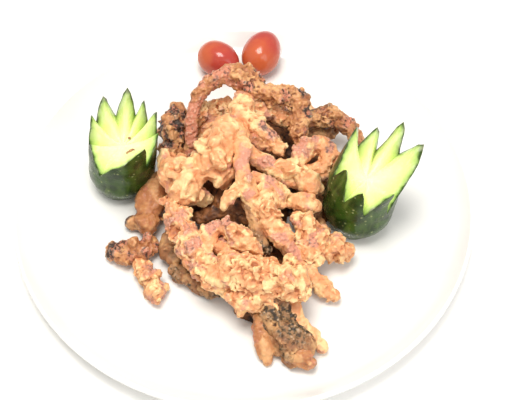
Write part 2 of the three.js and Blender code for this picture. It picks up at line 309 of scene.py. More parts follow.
# %% Shared effects: crust, skin and grain
def crust_effect():
    sockets = {"Fine": "Float", "Broad": "Float", "Peak": "Color", "Body": "Color",
               "Deep": "Color", "Crease": "Color"}
    tree, given, made = start_group("crust_colour_and_painted_light", sockets, {"Color": "Color"})
    # painted shade: where the surface lies broadly sunken it takes the deep colour
    broad = rescale(tree, given["Broad"], -1.5, 0.8)
    body = blend_colours(tree, broad, given["Deep"], given["Body"])
    toasted = rescale(tree, clouds(tree, 7 * MM, 3), 0.42, 0.62, 0.0, 0.75)
    body = blend_colours(tree, toasted, body, given["Deep"])
    elsewhere = add(tree, "Mapping", {"Vector": object_place(tree), "Location": (3, 1, 2)})
    yellow = rescale(tree, clouds(tree, 10 * MM, 2, elsewhere.outputs[0]), 0.47, 0.62, 0.0, 0.7)
    body = blend_colours(tree, yellow, body, given["Peak"])
    # painted shade: fine creases take the red-brown crease colour
    crease_shaded = blend_colours(tree, rescale(tree, given["Fine"], -0.65, 0.0), given["Crease"], body)
    # painted highlight: raised points take the pale peak colour, in speckles
    speckle = rescale(tree, clouds(tree, 1.6 * MM, 2), 0.35, 0.7, 0.35, 1.0)
    lit = combine(tree, "MULTIPLY", rescale(tree, given["Fine"], 0.08, 0.65), speckle)
    tree.links.new(blend_colours(tree, lit, crease_shaded, given["Peak"]), made["Color"])
    return tree


def skin_effect():
    sockets = {"Dusk": "Float", "Fine": "Float", "Rosy": "Color", "Dusky": "Color",
               "Fleck": "Color"}
    tree, given, made = start_group("squid_skin_and_painted_highlight", sockets, {"Color": "Color"})
    flecks = rescale(tree, clouds(tree, 2.4 * MM, 4), 0.32, 0.68)
    spots = combine(tree, "ADD", given["Dusk"], flecks)
    skin = blend_colours(tree, rescale(tree, spots, 0.8, 1.4), given["Rosy"], given["Dusky"])
    skin = blend_colours(tree, rescale(tree, spots, 1.15, 1.6, 0.0, 0.9), skin, given["Fleck"])
    # painted highlight: raised points of the skin are blended towards a paler tone
    pale = blend_colours(tree, 0.45, skin, (0.8, 0.6, 0.42, 1))
    lit = rescale(tree, given["Fine"], 0.1, 0.5, 0.0, 0.8)
    tree.links.new(blend_colours(tree, lit, skin, pale), made["Color"])
    return tree


def grain_effect():
    outputs = {"Height": "Float", "Sheen": "Float"}
    tree, given, made = start_group("oily_grain", {"Size": "Float"}, outputs)
    inputs = {0: object_place(tree), "Scale": given["Size"]}
    scaled = add(tree, "VectorMath", inputs, operation="SCALE").outputs[0]
    fine = clouds(tree, 0.7 * MM, 3, scaled)
    pits = cells(tree, 1.1 * MM, scaled)
    tree.links.new(combine(tree, "SUBTRACT", fine, pits), made["Height"])
    tree.links.new(rescale(tree, clouds(tree, 3 * MM, 2), 0.35, 0.65), made["Sheen"])
    return tree


CRUST = crust_effect()
SKIN = skin_effect()
GRAIN = grain_effect()
print("shared effects:", [g.name for g in (CRUST, SKIN, GRAIN)])


# %% [markdown]
# ## Fried materials
#
# Batter and skin are one material with different values: the vertex value
# "cover" says how thick the batter lies, from bare skin to full crust. A
# little light goes into the crust and comes out warm, and its roughness
# varies because the oil does.

# %% Fried materials
def fried(name, peak, body, deep, crease, rosy, dusky, rough, fleck=(58, 46, 38)):
    material, tree, shader = start_material(
        name, Specular_IOR_Level=0.32, Subsurface_Weight=0.18,
        Subsurface_Radius=(1.0, 0.5, 0.25), Subsurface_Scale=1.2 * MM)
    fine = value_of(tree, "fine")
    crust = use_group(tree, CRUST, {
        "Fine": fine, "Broad": value_of(tree, "broad"), "Peak": linear(*peak),
        "Body": linear(*body), "Deep": linear(*deep), "Crease": linear(*crease)})
    skin = use_group(tree, SKIN, {
        "Dusk": value_of(tree, "dusk"), "Fine": fine, "Rosy": linear(*rosy),
        "Dusky": linear(*dusky), "Fleck": linear(*fleck)})
    ragged = combine(tree, "ADD", value_of(tree, "cover"), clouds(tree, 2.5 * MM, 3))
    colour = blend_colours(tree, rescale(tree, ragged, 0.7, 1.15), skin["Color"], crust["Color"])
    grain = use_group(tree, GRAIN, {"Size": 1.0})
    gloss = rescale(tree, grain["Sheen"], 0.0, 1.0, rough - 0.12, rough + 0.1)
    dress(tree, shader, colour, gloss, grain["Height"], 0.5, 0.35 * MM)
    return material


BATTER = fried("fried_batter", peak=(247, 216, 159), body=(228, 169, 120), deep=(212, 139, 92),
               crease=(168, 100, 62), rosy=(203, 141, 116), dusky=(140, 100, 88), rough=0.5,
               fleck=(104, 76, 66))
BARE = fried("fried_skin", peak=(222, 172, 120), body=(190, 132, 86), deep=(168, 105, 66),
             crease=(126, 76, 50), rosy=(196, 126, 98), dusky=(98, 66, 54), rough=0.42)
# This darker copy of batter and skin is partly the thing's own colour, for the dusky front end and
# the crumbs, and partly painted shade, for tentacles that lie low or deep in the heap.
DARK_AND_SHADED = fried("fried_dark", peak=(208, 162, 112), body=(168, 118, 80), deep=(138, 92, 60),
             crease=(84, 54, 36), rosy=(150, 112, 78), dusky=(94, 76, 50), rough=0.5)
# This material is painted shade, for the core and the tangle seen deep between the tentacles.
CORE_SHADE = fried("fried_shade", peak=(156, 102, 60), body=(112, 68, 38), deep=(78, 46, 28),
             crease=(38, 22, 14), rosy=(92, 60, 44), dusky=(46, 34, 28), rough=0.6)
print("fried materials:", [m.name for m in (BATTER, BARE, DARK_AND_SHADED, CORE_SHADE)])

# %% [markdown]
# ## How a tentacle is made
#
# A fried tentacle is a tapering limb under a crust that swells into gobs,
# knobs and nodules. It could be sculpted, but a recipe gives dozens of them
# alike in kind and different in shape. Edges are drawn through the stations
# of its route and the Skin modifier gives them flesh. A swelling at each
# station and gobs of batter are stuck on, a little sway makes it limp, and a
# voxel remesh melts all into one skin. Cell textures push that out into
# knobs, buds and nodules, ridged ones fold it, and a slow warp leans them
# all, less where the limb is bare or thin.

# %% The batter's textures
def texture(name, kind, size, **settings):
    """A texture for the Displace modifier, its pattern of this size in mm."""
    made = bpy.data.textures.new(name, kind)
    made.noise_scale = size * MM
    for setting, value in settings.items():
        setattr(made, setting, value)
    return made


SWAY = texture("sway", "CLOUDS", 17, cloud_type="COLOR", noise_depth=1)
KNOBS = texture("knobs", "VORONOI", 10, distance_metric="DISTANCE_SQUARED")
BUDS = texture("buds", "VORONOI", 5.5, distance_metric="DISTANCE_SQUARED")
NODULES = texture("nodules", "VORONOI", 3.0, distance_metric="DISTANCE_SQUARED")
RIDGES = texture("ridges", "MUSGRAVE", 4.0, musgrave_type="RIDGED_MULTIFRACTAL", octaves=3)
FOLDS = texture("folds", "MUSGRAVE", 10, musgrave_type="RIDGED_MULTIFRACTAL", octaves=2)
WARP = texture("warp", "CLOUDS", 7, cloud_type="COLOR", noise_depth=1)
SEEDS = texture("seeds", "VORONOI", 2.4)
CRUMB = texture("crumb", "CLOUDS", 2.0, noise_depth=2)


def push(piece, name, pattern, height, middle=0.35, group="", **settings):
    """A Displace modifier that raises the pattern by this height, in mm."""
    modifier = piece.modifiers.new(name, "DISPLACE")
    modifier.texture = pattern
    modifier.strength = height * MM
    modifier.mid_level = middle
    modifier.vertex_group = group
    for setting, value in settings.items():
        setattr(modifier, setting, value)


def melt(piece, voxel):
    """A voxel remesh that melts overlapping shapes into one skin."""
    modifier = piece.modifiers.new("melt", "REMESH")
    modifier.mode = "VOXEL"
    modifier.voxel_size = voxel * MM
    modifier.use_smooth_shade = True


# %% Flesh on a route
def string_flesh(name, route, dice):
    """A limb through [x, y, z, radius] stations, a bit flattened here and there."""
    piece = single_point(name)
    draw_edges([Vector(station[:3]) * MM for station in route])
    editing(False)
    bpy.ops.object.modifier_add(type="SKIN")
    for point, station in zip(piece.data.skin_vertices[0].data, route):
        width = station[3] * MM
        point.radius = (width * dice.uniform(0.92, 1.12), width * dice.uniform(0.82, 1.0))
    rounded = piece.modifiers.new("rounded", "SUBSURF")
    rounded.levels = rounded.render_levels = 2
    apply_modifiers(piece)
    return piece


def along(route, count=40):
    """Points evenly spread along a route, their radii and their directions."""
    stations = np.array(route, dtype=float)
    steps = np.linspace(0, len(route) - 1, count)
    columns = [np.interp(steps, range(len(route)), stations[:, k]) for k in range(4)]
    centres = np.stack(columns, axis=1)
    return centres, np.gradient(centres[:, :3], axis=0)


GOB_SPACING = 2.4
BIGGEST_GOB = 8.5
ROUND_GOBS = 0.93  # the rest are pointed crisps
STATION_SWELLING = 0.9


def stick_gobs(piece, route, amount, smooth, dice):
    """A swelling at each station, and gobs and a few crisps past the smooth start."""
    centres, ways = along(route)
    length = np.linalg.norm(ways, axis=1).sum()
    pick(piece)
    editing(True)
    for x, y, z, radius in route:
        bpy.ops.mesh.primitive_ico_sphere_add(
            subdivisions=2, radius=STATION_SWELLING * radius * MM, location=Vector((x, y, z)) * MM)
    for _ in range(round(length * amount / GOB_SPACING)):
        i = dice.randrange(round(smooth * len(centres)), len(centres))
        way = Vector(ways[i]).normalized()
        out = way.orthogonal().normalized()
        out.rotate(Matrix.Rotation(dice.uniform(0, math.tau), 3, way))
        radius = centres[i][3]
        size = min(BIGGEST_GOB, radius * dice.uniform(0.35, 0.85))
        place = Vector(centres[i][:3]) + out * (radius * dice.uniform(0.6, 0.95))
        turn = [dice.uniform(0, math.tau) for _ in range(3)]
        if dice.random() < ROUND_GOBS:
            bpy.ops.mesh.primitive_ico_sphere_add(
                subdivisions=2, radius=size * MM, location=place * MM, rotation=turn,
                scale=(1, dice.uniform(0.7, 1), dice.uniform(0.6, 1.25)))
        else:
            spike = (out + way * dice.uniform(-0.8, 0.8)).to_track_quat("Z", "X").to_euler()
            bpy.ops.mesh.primitive_cone_add(
                vertices=6, radius1=size * 0.85 * MM, radius2=0.5 * MM, depth=size * 2.4 * MM,
                location=place * MM, rotation=spike, scale=(1, 0.5, 1))
    editing(False)


# %% Cover, creases and the whole recipe
def steps_to_value(places, route, values):
    """The value at each place, eased between values spread along the route."""
    centres, _ = along(route)
    gaps = np.linalg.norm(places[:, None, :] / MM - centres[None, :, :3], axis=2)
    share = gaps.argmin(axis=1) / (len(centres) - 1)
    return np.interp(share, np.linspace(0, 1, len(values)), values)


def cloudy(places, size, seed):
    """Smooth noise from about -0.5 to 0.5 at each place."""
    shift = Vector((seed * 7.1, seed * 3.7, seed * 5.3))
    return np.array([noise.noise(Vector(p) / (size * MM) + shift) for p in places])


PATCH_SIZE, PATCH_DEPTH = 8, 1.1
FULL_WEIGHT = 15
RELIEF_ROUNDS = ((6, "fine"), (26, "broad"))


def cover_of(piece, route, cover, seed):
    """How thick the batter lies at each vertex, from 0 to 1, in uneven patches."""
    places = positions(piece)
    amount = steps_to_value(places, route, cover)
    return np.clip(amount + PATCH_DEPTH * cloudy(places, PATCH_SIZE, seed), 0, 1)


def weigh(piece, name, weights):
    """Put the weights into a vertex group, in even steps."""
    group = piece.vertex_groups.get(name) or piece.vertex_groups.new(name=name)
    levels = np.round(weights * FULL_WEIGHT).astype(int)
    for level in range(FULL_WEIGHT + 1):
        chosen = np.nonzero(levels == level)[0]
        if len(chosen):
            group.add(chosen.tolist(), level / FULL_WEIGHT, "REPLACE")


def measure_relief(piece):
    """How far each vertex stands out of its neighbourhood, near and far, in mm."""
    places = positions(piece)
    normals = positions(piece, "normal")
    ends = np.empty(len(piece.data.edges) * 2, dtype=np.int64)
    piece.data.edges.foreach_get("vertices", ends)
    a, b = ends.reshape(-1, 2).T
    count = len(places)
    neighbours = np.maximum(np.bincount(a, minlength=count) + np.bincount(b, minlength=count), 1)
    smooth = places.copy()
    relief = {}
    for rounds, name in RELIEF_ROUNDS:
        for _ in range(rounds):
            summed = [np.bincount(a, smooth[b, k], count) + np.bincount(b, smooth[a, k], count)
                      for k in range(3)]
            smooth = np.stack(summed, axis=1) / neighbours[:, None]
        relief[name] = ((places - smooth) * normals).sum(axis=1) / MM
    return relief


VOXEL = 0.6
CRAG_SIZE = 12
STOUT = 8  # a limb of this radius carries all the batter it can
fried_pieces = []


def stoutness(piece, route):
    """How stout the limb is at each vertex, up to 1: thin tips carry less batter."""
    shares = [radius / STOUT for *_, radius in route]
    return np.clip(steps_to_value(positions(piece), route, shares), 0.4, 1)


def keep_relief(piece):
    for layer, values in measure_relief(piece).items():
        store(piece, layer, values)


def tentacle(name, material, route, gobs=1, smooth=0, cover=(1,), dusk=(0.1,), plump=1.18,
             knobs=4, nodules=1, folds=0.3):
    """One fried tentacle, from its route to its finished crust."""
    dice = random.Random(name)
    thickened = [[x, y, z, radius * plump + 0.4] for x, y, z, radius in route]
    piece = string_flesh("fried_" + name, thickened, dice)
    stick_gobs(piece, route, gobs, smooth, dice)
    push(piece, "sway", SWAY, 3.0, middle=0.5, direction="RGB_TO_XYZ")
    melt(piece, VOXEL)
    apply_modifiers(piece)
    here = len(fried_pieces)
    spread = cover_of(piece, route, cover, here)
    weigh(piece, "cover", (0.3 + 0.7 * spread) * stoutness(piece, route))
    push(piece, "knobs", KNOBS, -knobs, group="cover")
    melt(piece, VOXEL)
    apply_modifiers(piece)
    spread = cover_of(piece, route, cover, here)
    stout = stoutness(piece, route)
    craggy = np.clip(0.5 + 1.6 * cloudy(positions(piece), CRAG_SIZE, here + 0.5), 0.1, 1)
    weigh(piece, "cover", (0.25 + 0.75 * spread) * stout)
    weigh(piece, "craggy", (0.2 + 0.8 * spread * craggy) * stout)
    weigh(piece, "bare", 1 - spread)
    push(piece, "buds", BUDS, -2.6 * nodules, middle=0.2, group="cover")
    push(piece, "nodules", NODULES, -1.0 * nodules, middle=0.2, group="craggy")
    push(piece, "folds", FOLDS, folds, middle=0.9, group="cover")
    push(piece, "ridges", RIDGES, 1.2 * nodules, middle=0.9, group="craggy")
    push(piece, "warp", WARP, 3.4, middle=0.5, direction="RGB_TO_XYZ", group="cover")
    push(piece, "seeds", SEEDS, -1.2, group="bare")
    push(piece, "crumb", CRUMB, 0.5 + 0.7 * nodules, middle=0.5)
    apply_modifiers(piece)
    piece.vertex_groups.clear()
    store(piece, "cover", spread)
    store(piece, "dusk", steps_to_value(positions(piece), route, dusk))
    keep_relief(piece)
    piece.data.materials.clear()
    piece.data.materials.append(material)
    fried_pieces.append(piece)
    return piece


def report(title):
    faces = sum(len(p.data.polygons) for p in fried_pieces)
    print(title, "-", len(fried_pieces), "fried pieces so far,", faces, "faces")


# %% [markdown]
# ## The top of the heap
#
# The longest and best-coated tentacles lie on top. Each is given by its
# route, a middle line in millimetres with the radius at each station, as the
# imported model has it. "cover" and "dusk" are read along the tentacle from its
# first station to its last: how thick the batter is there, and how dark the
# skin.
# "gobs" says how many gobs there are, "smooth" how much of its start has none,
# and "knobs", "nodules" and "folds" how high they stand.

# %% Tentacles on top, in the middle
tentacle("crown_left", BATTER, [
    [0, 32, 54, 6], [-9, 22, 54, 7.5], [-18, 11, 53, 9], [-19, 2, 50, 11.5], [-13, -4, 44, 9],
], knobs=6, nodules=0.25, folds=1)
tentacle("crown_right", BATTER, [
    [0, 63, 48, 4], [0, 45, 55, 4.5], [-2, 34, 56, 7.5], [5, 30, 55, 6], [11, 27, 53, 5],
    [17, 23, 49, 4.5], [23, 17, 42, 4],
], gobs=1.2, cover=(0.3, 1, 1, 0.6, 0.3, 0.9), dusk=(0.1, 0.1, 0.4, 0.9, 0.2))
tentacle("crown_inner", BARE, [
    [0, 23, 50, 4.5], [9, 22, 47, 5], [16, 19, 44, 4.5],
], gobs=0.3, cover=(0.3,), dusk=(0.3, 0.5))
tentacle("stem", BATTER, [
    [-1, 17, 56, 5], [0, 5, 56, 3.5], [-1, -2, 55, 4], [0, -10, 53, 4.5], [3, -17, 50, 5.5],
    [7, -26, 45, 5.5],
], gobs=0.3, knobs=2.5, nodules=0.4, cover=(1, 0.6, 0.35, 0.4, 0.5, 0.9), dusk=(0,))
tentacle("stem_flake", BATTER, [
    [-1, -15, 52, 3.5], [-5, -21, 51, 5.5], [-10, -27, 46, 3],
], gobs=0.6, nodules=0.3, folds=1.8)
tentacle("centre_mid", BATTER, [
    [5, -8, 48, 4], [15, -12, 47, 6], [22, -15, 45, 5.5], [24, -22, 40, 4],
], gobs=0.8, cover=(0.6, 0.5, 0.6, 0.9), dusk=(0.1, 0.2))
report("on top, in the middle")

# %% Tentacles on top, at the sides and in front
tentacle("long_right", BATTER, [
    [11, -11, 48, 4], [15, -22, 47, 6.5], [14, -30, 44, 6.5], [18, -38, 41, 7],
    [23, -44, 37, 6.5], [28, -49, 31, 5], [34, -52, 25, 4], [39, -57, 20, 4.5],
    [45, -63, 16, 4.5], [54, -69, 13, 5],
], gobs=1.2, cover=(1, 1, 1, 0.9, 0.6, 0.3, 0.5, 0.9, 1, 1))
tentacle("right_mid", BATTER, [
    [-1, 12, 52, 4.5], [8, 8, 48, 4.5], [15, 4, 46, 5], [22, 1, 42, 4.5], [29, -3, 38, 4],
    [37, -5, 34, 3],
], gobs=0.5, nodules=0.6, cover=(0.8, 0.6, 0.35, 0.2, 0.6), dusk=(0, 0.1, 0.3, 0.1))
tentacle("right_flake", BATTER, [
    [23, 3, 46, 5], [31, 2, 46, 6.5], [36, -3, 43, 5.5], [41, -8, 40, 4.5], [47, -8, 36, 3.5],
], gobs=1.2, nodules=0.4, folds=1.8)
tentacle("loop", BATTER, [
    [-21, -55, 33, 3.5], [-22, -46, 37, 4], [-18, -39, 39, 5], [-11, -39, 41, 5.5],
    [-4, -44, 42, 7], [2, -51, 41, 6], [9, -56, 39, 4],
], gobs=0.9, cover=(0.9, 0.9, 0.4, 0.5, 0.6, 0.6, 0.9), dusk=(0, 0.2, 0.4, 0.2, 0.1))
tentacle("left_big", BATTER, [
    [-47, 14, 40, 7.5], [-43, 1, 40, 10.5], [-36, -8, 38, 12.5], [-25, -11, 33, 7.5],
], knobs=6, nodules=0.2, folds=1.2)
tentacle("left_long", BATTER, [
    [-44, -13, 32, 6.5], [-39, -28, 33, 8], [-35, -40, 32, 7], [-29, -50, 32, 7.5],
    [-23, -59, 32, 7.5], [-15, -70, 31, 7],
], gobs=1.6, knobs=5, nodules=1.3, folds=1, cover=(1, 0.85, 0.75, 0.5, 0.6, 1),
   dusk=(0.1, 0.2, 0.3, 0.3, 0.1))
tentacle("front_crown", BATTER, [
    [-15, -69, 32, 6.5], [-5, -66, 36, 8], [5, -70, 38, 11.5], [16, -74, 38, 12.5],
    [32, -73, 35, 11],
], gobs=1.8, knobs=5)
tentacle("front_fringe", BATTER, [
    [-12, -74, 29, 5], [-3, -81, 29, 6], [5, -83, 29, 6.5], [13, -81, 29, 6.5],
    [22, -79, 29, 6.5], [34, -76, 29, 6],
], gobs=1.2, nodules=0.8, folds=2)
report("on top")

# %% [markdown]
# ## The arched tentacle
#
# One thin tentacle rears up at the back in an arch. Its near leg is almost
# bare and rosy, and past the top its skin is dusky and rough with batter. It
# stands clear of the heap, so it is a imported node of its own.

# %% The arched tentacle
arch = tentacle("arch", BARE, [
    [-35, 24, 28, 3.5], [-34, 31, 36, 3.5], [-32, 39, 42, 3.5], [-31, 45, 48, 3.5],
    [-29, 52, 53, 4], [-24, 57, 57, 4.5], [-18, 61, 60, 5], [-10, 65, 61, 5.5], [-2, 65, 60, 7],
    [5, 58, 58, 6.5], [13, 53, 56, 5], [22, 49, 55, 6.5], [30, 53, 54, 6.5], [36, 52, 52, 5],
    [37, 45, 48, 5], [35, 38, 44, 5.5], [35, 28, 39, 5.5],
], smooth=0.42, plump=1.1, knobs=3, nodules=1.4,
   cover=(0.1, 0.1, 0.15, 0.1, 0.4, 0.2, 0.2, 0.4, 0.9, 0.5, 0.7, 0.9, 0.9, 0.4, 0.4, 0.9, 1),
   dusk=(0.1, 0.1, 0.1, 0.1, 0.2, 0.3, 0.3, 0.2, 0.2, 0.5, 0.6, 0.4, 0.7, 0.9, 0.9, 0.5, 0))
report("with the arch")

# %% [markdown]
# ## Round the sides and at the back
#
# On the right the tentacles are short and curled, and the heap ends in front
# in a dusky, half-bare end between golden lobes. Behind, they lie lower and
# darker, in the shade of the arch.

# %% Tentacles round the sides
tentacle("right_curl", BATTER, [
    [34, 9, 40, 4.5], [38, 21, 40, 5.5], [45, 25, 40, 5.5], [53, 21, 39, 5.5], [55, 14, 37, 5.5],
    [51, 6, 35, 5.5], [41, 6, 35, 5.5],
], gobs=0.6, cover=(0.5, 0.5, 0.4, 0.8, 0.9, 0.7, 0.5), dusk=(0.1, 0.2, 0.6, 0.1))
tentacle("cluster_flake", BATTER, [
    [28, -14, 38, 3.5], [35, -20, 38, 5.5], [43, -20, 35, 5.5],
], nodules=0.5)
tentacle("right_cluster", BATTER, [
    [34, -30, 36, 6], [39, -39, 33, 8.5], [42, -46, 28, 8], [39, -54, 21, 6],
], gobs=1.2, cover=(0.8, 0.6, 0.9, 1), dusk=(0.2, 0.4, 0.1))
tentacle("right_knob", BATTER, [[43, -38, 29, 5.5], [53, -44, 24, 8], [64, -42, 18, 5]])
tentacle("centre_low", DARK_AND_SHADED, [
    [6, -23, 44, 5.5], [7, -34, 40, 5], [9, -42, 36, 4], [14, -48, 30, 4],
], gobs=0.5, cover=(0.9, 0.8, 0.5, 0.2), dusk=(0, 0.2, 0.4, 0.8))
# inner_left lies deep in the tangle and takes the shade material: painted shade
tentacle("inner_left", CORE_SHADE, [
    [-28, -19, 22, 4.5], [-18, -18, 22, 5], [-8, -18, 24, 6], [3, -20, 29, 5],
], gobs=0.9, cover=(0.8, 0.7), dusk=(0.4, 0.2))
tentacle("front_end", DARK_AND_SHADED, [
    [16, -78, 23, 8], [20, -90, 20, 11], [27, -99, 17, 9.5], [33, -107, 15, 7.5],
    [39, -114, 11, 4.5],
], gobs=0.7, cover=(0.6, 0.35, 0.35, 0.7, 1), dusk=(0.6, 0.75, 0.75, 0.5, 0.2))
tentacle("front_end_left", BARE, [
    [12, -87, 18, 6], [11, -100, 14, 4.5], [15, -111, 10, 4],
], gobs=0.8, nodules=0.6)
tentacle("front_end_mid", DARK_AND_SHADED, [[16, -95, 16, 4.5], [21, -107, 11, 4]], gobs=0.4, nodules=0.3)
tentacle("front_end_bulb", BATTER, [
    [27, -80, 25, 5], [31, -89, 20, 5], [36, -96, 17, 4.5], [45, -103, 13, 5],
], gobs=0.8, nodules=0.5)
report("with the sides")

# %% Tentacles at the back
tentacle("back_left_inner", BATTER, [
    [-26, 38, 27, 5], [-25, 49, 31, 6], [-21, 58, 34, 5], [-14, 57, 36, 6], [-4, 57, 37, 4.5],
], gobs=2.4, plump=1.35, knobs=5, nodules=1.3, cover=(0.9, 0.8))
tentacle("back_right_inner", BATTER, [
    [0, 51, 44, 4.5], [9, 48, 44, 4.5], [16, 48, 43, 5], [23, 48, 41, 4.5], [30, 44, 37, 4],
], gobs=2.2, plump=1.45, knobs=5, nodules=1.3, cover=(1, 0.9, 0.7), dusk=(0.2, 0.6))
tentacle("back_right", BARE, [
    [38, 48, 36, 5], [48, 51, 35, 6.5], [57, 51, 33, 6.5], [65, 48, 31, 6], [70, 44, 28, 4.5],
    [77, 38, 23, 3],
], gobs=1.4, nodules=1.3, cover=(0.7, 0.6, 0.7, 0.9, 0.6), dusk=(1, 0.8, 0.4, 0.3))
# back_right_low and far_left take the darker material: painted shade, for they lie low behind
tentacle("back_right_low", DARK_AND_SHADED, [
    [37, 44, 24, 4.5], [47, 48, 22, 5.5], [59, 48, 20, 4.5],
], gobs=0.5)
tentacle("back_left", BARE, [
    [-42, 61, 29, 5.5], [-46, 53, 29, 7], [-47, 42, 27, 8], [-44, 29, 24, 7],
], cover=(0.7, 0.4, 0.5, 0.8), dusk=(0.8, 1, 0.8))
tentacle("far_left", DARK_AND_SHADED, [
    [-46, 56, 14, 6.5], [-32, 62, 14, 7.5], [-16, 65, 15, 7.5], [0, 65, 15, 7],
])
tentacle("far_right", BATTER, [
    [2, 68, 17, 7], [18, 72, 16, 8], [34, 68, 17, 8], [48, 62, 16, 6.5],
])
report("with the back")

# %% Tentacles low down
tentacle("left_low", BARE, [
    [-55, 10, 22, 4.5], [-57, -1, 20, 5], [-59, -11, 17, 8], [-60, -20, 16, 8.5],
    [-70, -17, 13, 5.5],
], gobs=0.5, knobs=2.5, nodules=0.2, cover=(0.9, 0.9, 0.9, 0.9, 0.3),
   dusk=(0.1, 0.1, 0.2, 0.2, 1.1))
# left_bulb, low_dark and right_low take the darker material: painted shade, for they lie low at
# the foot of the heap
tentacle("left_bulb", DARK_AND_SHADED, [
    [-43, -26, 18, 5], [-45, -37, 16, 8], [-42, -45, 15, 5],
], gobs=0.3, plump=1.35, knobs=2.5, nodules=0.2, cover=(0.9, 0.8))
tentacle("low_dark", DARK_AND_SHADED, [
    [-41, -51, 13, 5], [-31, -59, 13, 5.5], [-22, -65, 13, 5], [-13, -67, 13, 4],
], gobs=0.6, cover=(0.5, 0.4), dusk=(0.5, 0.6))
tentacle("right_low", DARK_AND_SHADED, [[54, 28, 14, 7], [44, 10, 14, 8], [41, -10, 15, 8], [46, -32, 14, 7]])
report("with the low ones")

# %% [markdown]
# ## Loose bits and flakes
#
# Two short bits lie loose on the plate, left in front: a dark, half-bare one
# and a golden one. Two flakes of batter close gaps in the tangle, one under
# the arch and one inside the loop in the middle, and a third is the golden
# tip of the dusky front end.

# %% Loose bits
bit_dark = tentacle("loose_bit_dark", BARE, [
    [-55, -34, 13, 5.5], [-64, -40, 14, 8], [-71, -42, 14, 8], [-80, -37, 13, 5.5],
], gobs=1.2, cover=(0.3, 0.45, 0.35), dusk=(0.5, 0.3, 0.9))
bit_golden = tentacle("loose_bit_golden", BATTER, [
    [-63, -49, 13, 5.5], [-58, -58, 14, 6.5], [-52, -65, 13, 6], [-52, -73, 12, 3.5],
], gobs=1.8, knobs=5, nodules=1.3, cover=(0.5, 0.8, 0.4), dusk=(0.3, 0.2))
report("with the loose bits")

# %% Three flakes of batter
tentacle("arch_flake", BATTER, [
    [-29, 44, 36, 4], [-26, 49, 41, 4.5], [-25, 54, 41, 4],
], gobs=1.6, nodules=1.3, cover=(0.8,), dusk=(0.5, 0.2))
tentacle("loop_flake", BATTER, [
    [-17, -47, 33, 5], [-10, -50, 34, 6], [-3, -55, 34, 5],
], gobs=1.4, cover=(0.8, 0.7), dusk=(0.3, 0.4))
tentacle("front_flake", BARE, [
    [31, -107, 19, 5], [34, -110, 17, 6], [38, -114, 13, 5.5],
], gobs=0.8, knobs=3, nodules=0.4, cover=(0.5, 0.9), dusk=(0.4, 0.1))
heap_pieces = [p for p in fried_pieces if p not in (arch, bit_dark, bit_golden)]
report("with the flakes")

# %% [markdown]
# ## The core of the heap
#
# Between the tentacles one looks into a dark tangle. It is built as a few
# low mounds, melted together and knobbled like the rest, but lower than the
# tentacles on it, so that it only closes the gaps. Its dark colour is painted
# shade, the shadow deep inside the heap.

# %% Core
# middle x and y, half width, half depth and top of each, in mm
MOUNDS = [(0, 6, 30, 40, 38), (8, 48, 36, 18, 24), (-38, 22, 14, 34, 18), (42, 12, 16, 36, 20),
          (-14, -36, 14, 20, 26), (18, -50, 24, 22, 18), (12, -76, 16, 10, 22)]
MOUND_Z = 8


def mound_core():
    bpy.ops.object.select_all(action="DESELECT")
    bpy.ops.mesh.primitive_uv_sphere_add(segments=32, ring_count=16, radius=MM)
    core = bpy.context.object
    core.name = "heap_core"
    editing(True)
    bpy.ops.mesh.delete(type="VERT")
    for x, y, width, depth, top in MOUNDS:
        bpy.ops.mesh.primitive_uv_sphere_add(
            segments=32, ring_count=16, radius=MM, location=Vector((x, y, MOUND_Z)) * MM,
            scale=(width, depth, top - MOUND_Z))
    editing(False)
    melt(core, 1.4)
    push(core, "sway", SWAY, 6.0, middle=0.5, direction="RGB_TO_XYZ")
    push(core, "knobs", KNOBS, -5.0)
    melt(core, 1.2)
    push(core, "nodules", NODULES, -1.6)
    apply_modifiers(core)
    cut_level(core, FOOD_Z)
    return core


def cut_level(piece, height):
    """Cut the piece off level, at this height in mm, and close the cut.

    Bisect takes what lies within 0.1 mm of the cut as on it, and leaves it there.
    """
    pick(piece)
    editing(True)
    bpy.ops.mesh.bisect(plane_co=(0, 0, height * MM), plane_no=(0, 0, 1), use_fill=True,
                        clear_inner=True)
    editing(False)


def lay_down(piece, turns, place, crease):
    """Turn the piece by degrees, put it in its place, cut it level and smooth it."""
    piece.rotation_euler = [math.radians(turn) for turn in turns]
    piece.location = Vector(place) * MM
    bpy.ops.object.transform_apply(location=True, rotation=True)
    cut_level(piece, FOOD_Z)
    bpy.ops.object.shade_smooth_by_angle(angle=math.radians(crease))


FOOD_Z = 7.4  # where food is cut off level, a hair above the plate's well
core = mound_core()
store(core, "cover", np.full(len(core.data.vertices), 0.9))
store(core, "dusk", np.full(len(core.data.vertices), 0.4))
keep_relief(core)
core.data.materials.clear()
core.data.materials.append(CORE_SHADE)
bpy.ops.object.shade_smooth()
heap_pieces.append(core)
print("core faces:", len(core.data.polygons))

# %% [markdown]
# ## The plate
#
# A plate is turned, so it is spun here too: its half section is drawn from
# the middle of its foot, round the rim and back over the well, and spun about
# the upright axis. The white glaze is glossy, with a faint unevenness.

# %% Plate
def turned(name, outline, steps):
    """A closed solid spun from an outline of [radius, height] points, in mm."""
    piece = single_point(name)
    draw_edges([Vector((r, 0, z)) * MM for r, z in outline])
    bpy.ops.mesh.select_all(action="SELECT")
    bpy.ops.mesh.spin(steps=steps, angle=math.tau, center=(0, 0, 0), axis=(0, 0, 1))
    bpy.ops.mesh.select_all(action="SELECT")
    bpy.ops.mesh.remove_doubles(threshold=0.01 * MM)
    bpy.ops.mesh.normals_make_consistent(inside=False)
    editing(False)
    return piece


